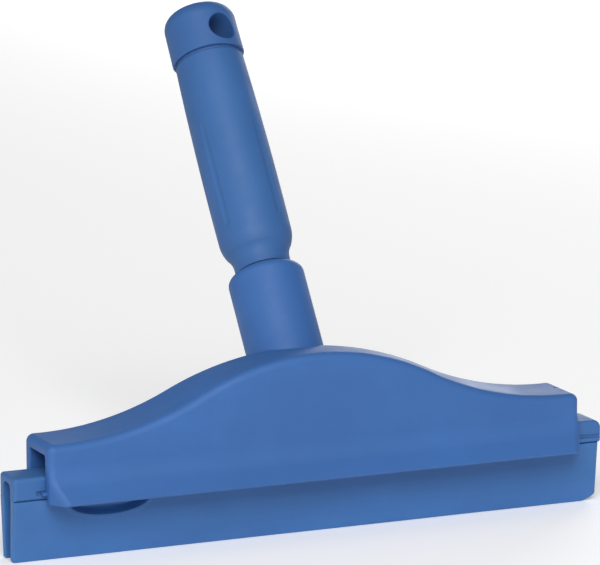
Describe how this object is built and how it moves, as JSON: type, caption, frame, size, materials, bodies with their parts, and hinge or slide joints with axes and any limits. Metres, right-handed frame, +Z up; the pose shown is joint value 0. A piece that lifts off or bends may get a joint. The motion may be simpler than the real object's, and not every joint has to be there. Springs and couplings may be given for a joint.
{
  "type": "hand squeegee",
  "caption": "One-hand bench squeegee: flared plastic frame carrying a slide-in double-lip rubber cassette, with a short grip screwed into a tilted socket.",
  "frame": {"origin": "midway between the two wiping edges, at the middle of the blade's length", "axes": "+X along the blade, -Y towards the flared front wall, +Z up from the wiping edges towards the handle"},
  "size_m": [0.2512, 0.1416, 0.1959],
  "materials": {
    "frame_plastic": "mid-blue polypropylene moulding, fine satin surface",
    "carrier_plastic": "mid-blue polypropylene, satin",
    "lip_rubber": "mid-blue thermoplastic rubber, dull matte",
    "seal_rubber": "dark blue rubber, matte",
    "grip_plastic": "mid-blue polypropylene, fine satin surface",
    "cap_plastic": "mid-blue polypropylene, fine satin surface"
  },
  "bodies": {
    "frame": {"squeegee_frame": "frame_plastic"},
    "cassette": {"cassette_carrier": "carrier_plastic", "front_lip": "lip_rubber", "rear_lip": "lip_rubber"},
    "seal": {"neck_seal": "seal_rubber"},
    "handle": {"hand_grip": "grip_plastic", "end_cap": "cap_plastic"}
  },
  "joints": [
    {"name": "cassette_slide", "type": "slide", "parent": "frame", "child": "cassette", "axis": [-1, 0, 0], "range_m": [0, 0.235]},
    {"name": "seal_lift", "type": "slide", "parent": "frame", "child": "seal", "axis": [0, 0.5864, 0.81], "range_m": [0, 0.0203]},
    {"name": "handle_turn", "type": "hinge", "parent": "seal", "child": "handle", "pos_m": [0, 0.05223, 0.1086], "axis": [0, 0.5864, 0.81], "range_deg": [0, 1620]}
  ],
  "couplings": [
    {"joint": "seal_lift", "follows": "handle_turn", "m_per_rad": 0.0007162}
  ]
}
